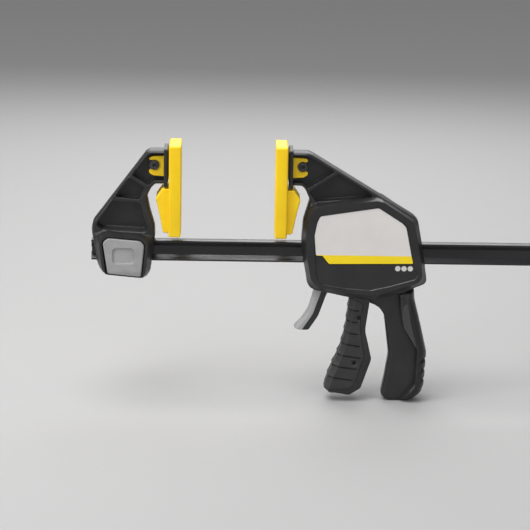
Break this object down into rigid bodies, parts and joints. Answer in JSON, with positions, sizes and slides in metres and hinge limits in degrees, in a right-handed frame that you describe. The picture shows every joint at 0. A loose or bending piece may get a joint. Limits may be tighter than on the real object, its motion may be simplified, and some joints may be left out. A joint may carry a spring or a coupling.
{
  "type": "trigger bar clamp",
  "caption": "One-handed trigger bar clamp: an I-section bar, a quick-change fixed jaw, and a sliding pistol-grip jaw, each with a swivelling pad.",
  "frame": {"origin": "centre of the fixed pad's clamping face", "axes": "+X along the bar from the fixed jaw to the moving jaw, +Z from the bar to the jaw tips, +Y away from the side with the quick-change button"},
  "size_m": [0.5405, 0.04, 0.2517],
  "materials": {
    "bar_steel": "satin black oxide",
    "pin_steel": "ground",
    "body_nylon": "fine moulded texture",
    "grey_plastic": "satin moulded",
    "spring_steel": "drawn wire",
    "yellow_pad": "smooth, slightly soft",
    "black_pin": "satin moulded",
    "screw_steel": "black zinc",
    "label": "satin printed plate",
    "plate_steel": "blanked and hardened",
    "soft_grip": "matte overmould",
    "gloss_grip": "glossy overmould"
  },
  "bodies": {
    "fixed_side": {"bar": "bar_steel", "bar_stop_pins": "pin_steel", "fixed_jaw": "body_nylon", "fixed_pad_pin": "black_pin", "lock_spring": "spring_steel"},
    "quick_change": {"quick_change_button": "grey_plastic", "lock_pin": "pin_steel"},
    "fixed_pad": {"fixed_pad": "yellow_pad"},
    "moving_jaw": {"body_front": "body_nylon", "body_rear": "body_nylon", "body_screws": "screw_steel", "label_front": "label", "label_rear": "label", "front_bar_guide": "plate_steel", "rear_bar_guide": "plate_steel", "moving_pad_pin": "black_pin", "trigger_pin": "pin_steel", "release_pin": "pin_steel", "drive_spring": "spring_steel", "brake_spring": "spring_steel", "handle_back_grip": "gloss_grip", "handle_inlay_front": "soft_grip", "handle_inlay_rear": "soft_grip"},
    "moving_pad": {"moving_pad": "yellow_pad"},
    "trigger": {"trigger": "body_nylon", "trigger_grip": "soft_grip", "trigger_screws": "screw_steel"},
    "drive_plates": {"drive_plates": "plate_steel"},
    "release_lever": {"release_lever": "body_nylon", "release_lever_cover": "grey_plastic"},
    "brake_plate": {"brake_plate": "plate_steel"}
  },
  "joints": [
    {"name": "jaw_slide", "type": "slide", "parent": "fixed_side", "child": "moving_jaw", "axis": [1, 0, 0], "range_m": [-0.0897, 0.21]},
    {"name": "fixed_pad_swivel", "type": "hinge", "parent": "fixed_side", "child": "fixed_pad", "pos_m": [-0.0257, 0, 0.0236], "axis": [0, 1, 0], "range_deg": [-2.5, 2.5]},
    {"name": "moving_pad_swivel", "type": "hinge", "parent": "moving_jaw", "child": "moving_pad", "pos_m": [0.1157, 0, 0.0236], "axis": [0, 1, 0], "range_deg": [-2.5, 2.5]},
    {"name": "quick_change_press", "type": "slide", "parent": "fixed_side", "child": "quick_change", "axis": [0, 1, 0], "range_m": [0, 0.005], "stiffness_N_per_m": 1200, "springref_m": -0.004, "deforming": ["lock_spring"]},
    {"name": "trigger_squeeze", "type": "hinge", "parent": "moving_jaw", "child": "trigger", "pos_m": [0.186, 0, -0.043], "axis": [0, -1, 0], "range_deg": [0, 7.5], "stiffness_Nm_per_rad": 2, "springref_deg": -17.19},
    {"name": "drive_plate_advance", "type": "slide", "parent": "moving_jaw", "child": "drive_plates", "axis": [1, 0, 0], "range_m": [0, 0.005], "deforming": ["drive_spring"]},
    {"name": "release_pull", "type": "hinge", "parent": "moving_jaw", "child": "release_lever", "pos_m": [0.1448, 0, -0.083], "axis": [0, -1, 0], "range_deg": [0, 12], "stiffness_Nm_per_rad": 0.4, "springref_deg": -22.92},
    {"name": "brake_plate_tilt", "type": "hinge", "parent": "moving_jaw", "child": "brake_plate", "pos_m": [0.1345, 0, -0.041], "axis": [0, -1, 0], "range_deg": [0, 2.4], "deforming": ["brake_spring"]}
  ],
  "couplings": [
    {"joint": "drive_plate_advance", "follows": "trigger_squeeze", "m_per_rad": 0.037},
    {"joint": "brake_plate_tilt", "follows": "release_pull", "ratio": 0.185}
  ]
}
